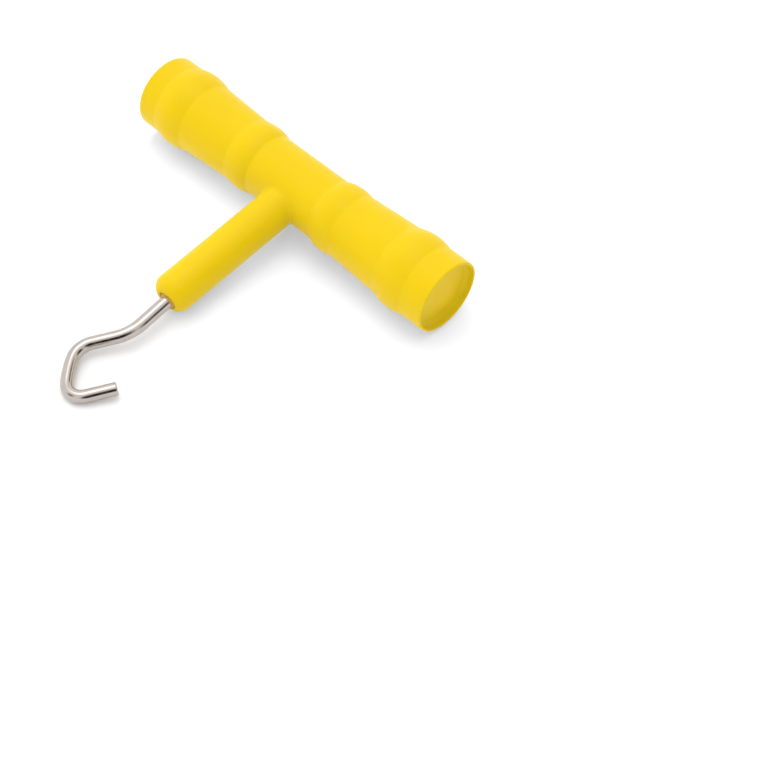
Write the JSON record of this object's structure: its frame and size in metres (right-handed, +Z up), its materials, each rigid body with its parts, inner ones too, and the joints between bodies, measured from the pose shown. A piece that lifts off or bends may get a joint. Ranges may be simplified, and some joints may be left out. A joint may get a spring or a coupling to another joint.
{
  "type": "t-handle pull hook",
  "caption": "Hand tool with a ringed T-shaped plastic grip and a bent round-wire hook with a blunt open tip, glued into its stem.",
  "frame": {"origin": "centre of the whole tool's bounding box, on the plane it rests on", "axes": "+X along the crossbar, -Y from the crossbar towards the hook, +Z up from the table that the outer rings and the outside of the hook rest on"},
  "size_m": [0.0874, 0.0798, 0.0186],
  "materials": {
    "yellow_plastic": "satin injection-moulded plastic",
    "plated_wire": "bright nickel-plated drawn wire",
    "cured_adhesive": "glossy amber adhesive"
  },
  "bodies": {
    "root": {"handle": "yellow_plastic", "hook": "plated_wire", "adhesive": "cured_adhesive"}
  },
  "joints": []
}
